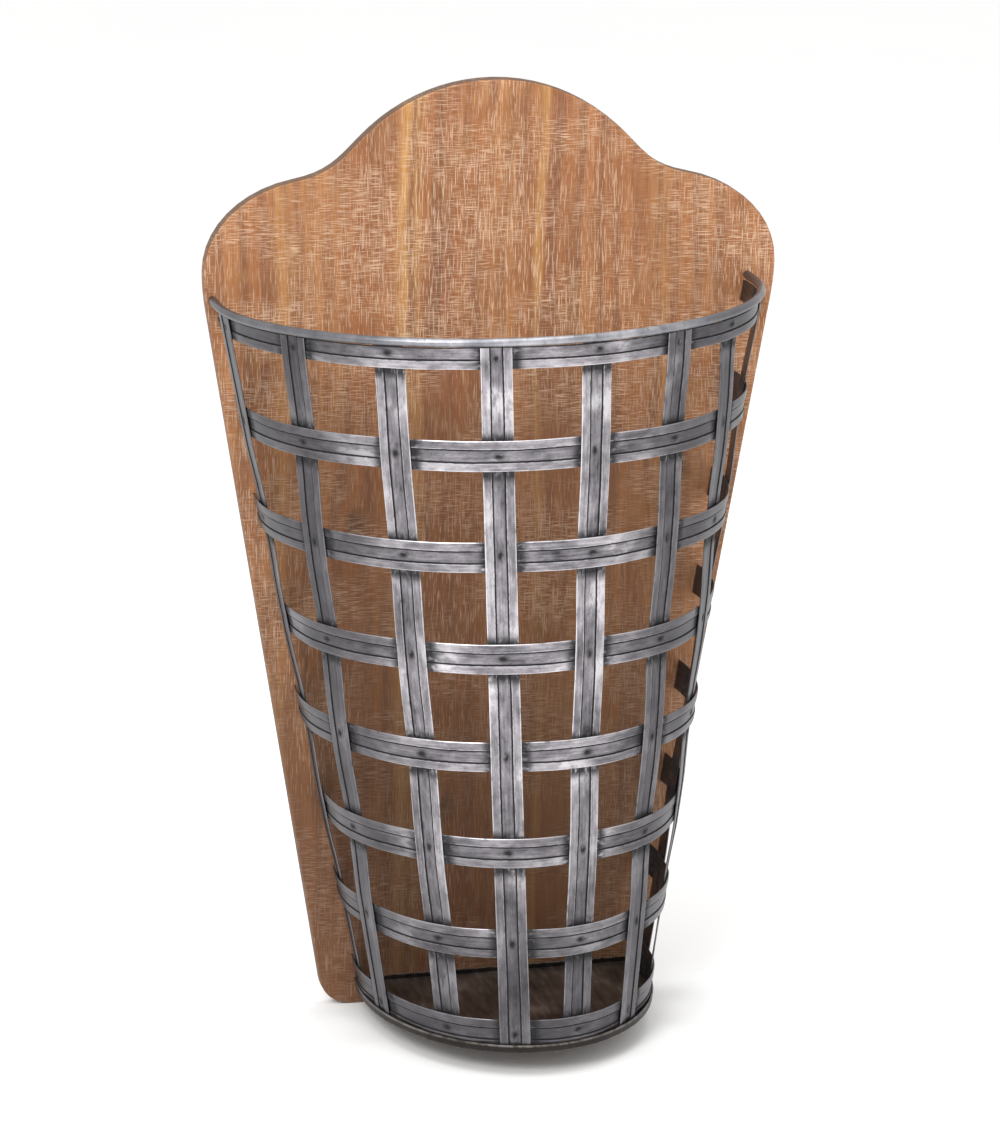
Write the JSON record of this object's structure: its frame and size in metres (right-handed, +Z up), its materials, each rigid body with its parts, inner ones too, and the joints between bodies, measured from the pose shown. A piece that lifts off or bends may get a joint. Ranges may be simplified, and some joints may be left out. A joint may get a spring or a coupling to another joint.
{
  "type": "wall bread basket",
  "caption": "Wall-hung baguette basket: shaped wooden back board carrying a tapering half-round basket woven from folded zinc strip, with a rolled rim and sheet base.",
  "frame": {"origin": "middle of the back board's flat back face, half the board's height up", "axes": "+Y into the wall, so the basket stands out towards -Y; +Z up; +X to the right seen from the front"},
  "size_m": [0.4054, 0.1997, 0.666],
  "materials": {
    "board_wood": "warm brown stained board, rubbed with pale whitewash in its grain and scratches",
    "aged_zinc": "aged zinc-coated folded strip, streaky, bright on worn edges and dark in the folds",
    "rim_zinc": "aged zinc wire, brighter where it is rubbed",
    "base_sheet": "dark tarnished sheet, dull, with a worn lip",
    "plated_steel": "zinc-plated pressed steel",
    "screw_steel": "plain countersunk screw steel"
  },
  "bodies": {
    "root": {"back_board": "board_wood", "rim": "rim_zinc", "strap_1": "aged_zinc", "strap_2": "aged_zinc", "strap_3": "aged_zinc", "strap_4": "aged_zinc", "strap_5": "aged_zinc", "strap_6": "aged_zinc", "strap_7": "aged_zinc", "strap_8": "aged_zinc", "band_1": "aged_zinc", "band_2": "aged_zinc", "band_3": "aged_zinc", "band_4": "aged_zinc", "band_5": "aged_zinc", "band_6": "aged_zinc", "band_7": "aged_zinc", "band_8": "aged_zinc", "base_plate": "base_sheet", "hanger_plate_left": "plated_steel", "hanger_screw_left_lower": "screw_steel", "hanger_screw_left_upper": "screw_steel", "rim_screw_left": "screw_steel", "base_screw_left": "screw_steel", "hanger_plate_right": "plated_steel", "hanger_screw_right_lower": "screw_steel", "hanger_screw_right_upper": "screw_steel", "rim_screw_right": "screw_steel", "base_screw_right": "screw_steel"}
  },
  "joints": []
}
